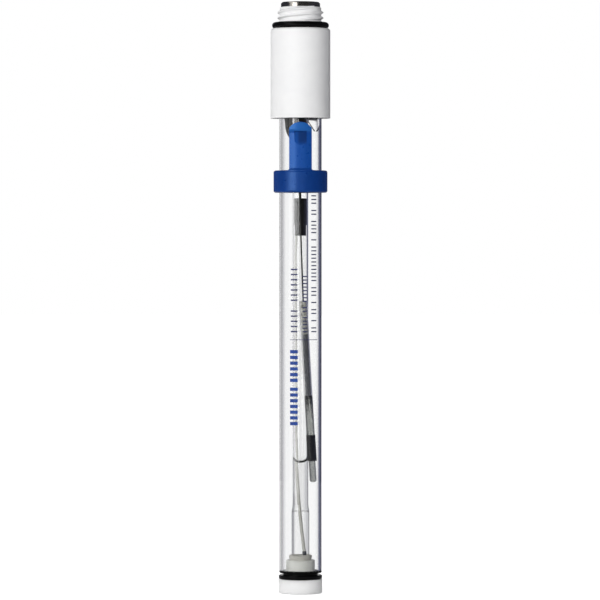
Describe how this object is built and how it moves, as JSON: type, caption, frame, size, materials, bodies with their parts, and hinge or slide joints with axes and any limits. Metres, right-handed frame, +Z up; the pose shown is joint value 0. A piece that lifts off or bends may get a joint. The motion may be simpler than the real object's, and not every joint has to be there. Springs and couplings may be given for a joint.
{
  "type": "ph electrode",
  "caption": "Slim glass pH electrode with a flat measuring tip, inner stem and reference cartridge, blue refill slider and white screw head.",
  "frame": {"origin": "centre of the flat measuring face at the tip", "axes": "+Z up the shaft towards the screw head, -Y towards the refill tongue"},
  "size_m": [0.0168, 0.0168, 0.1677],
  "materials": {
    "white_plastic": "smooth moulded",
    "junction_white": "matt porous",
    "black_rubber": "smooth",
    "contact_metal": "polished nickel",
    "insulator_plastic": "moulded",
    "shaft_glass": "clear",
    "stem_glass": "clear",
    "membrane_glass": "clear",
    "buffer_liquid": "clear liquid",
    "clear_resin": "clear",
    "black_plastic": "satin",
    "cream_wire": "satin",
    "silver_wire": "drawn silver",
    "silver_chloride": "dull",
    "packing_wool": "packed fibre",
    "grey_gel": "clear grey gel",
    "grey_plug": "porous",
    "seal_grey": "smooth",
    "bushing_grey": "moulded",
    "blue_plastic": "satin moulded"
  },
  "bodies": {
    "electrode": {"head_body": "white_plastic", "junction_ring": "junction_white", "head_o_ring": "black_rubber", "tip_gasket": "black_rubber", "outer_contact": "contact_metal", "centre_contact": "contact_metal", "contact_insulator": "insulator_plastic", "glass_shaft": "shaft_glass", "inner_stem": "stem_glass", "membrane_tube": "membrane_glass", "cartridge_tube": "stem_glass", "inner_buffer": "buffer_liquid", "head_potting": "clear_resin", "stem_plug": "black_plastic", "stem_top_plug": "black_plastic", "inner_lead": "black_plastic", "reference_lead_boot": "black_plastic", "cartridge_sleeve": "black_plastic", "inner_element_wire": "cream_wire", "reference_wire": "silver_wire", "silver_chloride_tip": "silver_chloride", "silver_chloride_fill": "silver_chloride", "cartridge_packing": "packing_wool", "cartridge_gel": "grey_gel", "ion_trap": "grey_plug", "stem_seal": "seal_grey", "tip_bushing": "bushing_grey"},
    "refill_slider": {"refill_slider": "blue_plastic"}
  },
  "joints": [
    {"name": "refill_slide", "type": "slide", "parent": "electrode", "child": "refill_slider", "axis": [0, 0, 1], "range_m": [-0.015, 0.001]}
  ]
}
